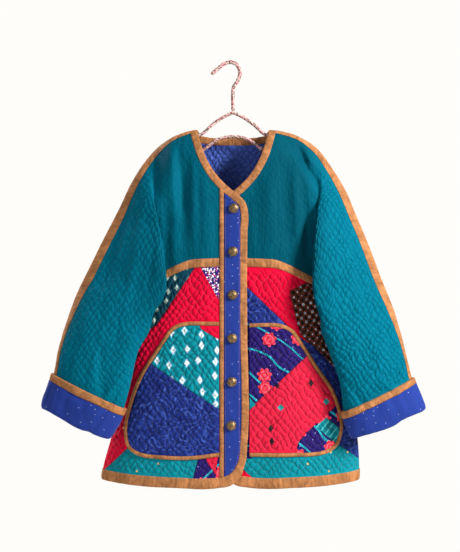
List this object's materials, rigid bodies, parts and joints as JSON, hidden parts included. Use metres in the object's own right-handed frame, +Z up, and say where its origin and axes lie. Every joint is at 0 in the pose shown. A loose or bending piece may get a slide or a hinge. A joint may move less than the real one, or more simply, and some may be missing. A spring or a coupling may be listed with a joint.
{
  "type": "quilted jacket",
  "caption": "Collarless quilted patchwork jacket with wide sleeves, turned-back cuffs, patch pockets and a buttoned front, on a cloth-wrapped wire hanger.",
  "frame": {"origin": "the place under the hanger's hook where a peg carries it", "axes": "+Z up, -Y the front of the jacket, +X the wearer's left"},
  "size_m": [0.7706, 0.1476, 0.8598],
  "materials": {
    "teal": "quilted cotton, teal",
    "blue": "cotton, royal blue",
    "lining": "quilted cotton lining, dark blue",
    "patch_red": "quilted cotton patches, red and other colours",
    "patch_blue": "quilted cotton patches, blue and other colours",
    "tan": "soft suede-like cloth, tan",
    "calico": "printed cotton strip wound round wire",
    "brass": "antique, darkened in the hollows"
  },
  "bodies": {
    "root": {"upper_front_right": "teal", "lower_front_right": "patch_red", "upper_front_left": "teal", "lower_front_left": "patch_red", "upper_back": "teal", "lower_back": "patch_blue", "pocket_right": "patch_red", "pocket_piping_right": "tan", "shoulder_band_right": "tan", "yoke_band_front_right": "tan", "pocket_left": "patch_red", "pocket_piping_left": "tan", "shoulder_band_left": "tan", "yoke_band_front_left": "tan", "yoke_band_back": "tan", "binding_front_right": "tan", "binding_front_left": "tan", "binding_neck_back": "tan", "binding_hem_back": "tan", "placket_strip": "blue", "placket_piping": "tan", "button_1": "brass", "button_2": "brass", "button_3": "brass", "button_4": "brass", "button_5": "brass", "button_6": "brass", "cuff_right": "blue", "cuff_binding_right": "tan", "cuff_left": "blue", "cuff_binding_left": "tan", "lining_back": "lining", "hanger_hook": "calico", "hanger_arms": "calico", "hanger_bar": "calico"}
  },
  "joints": []
}
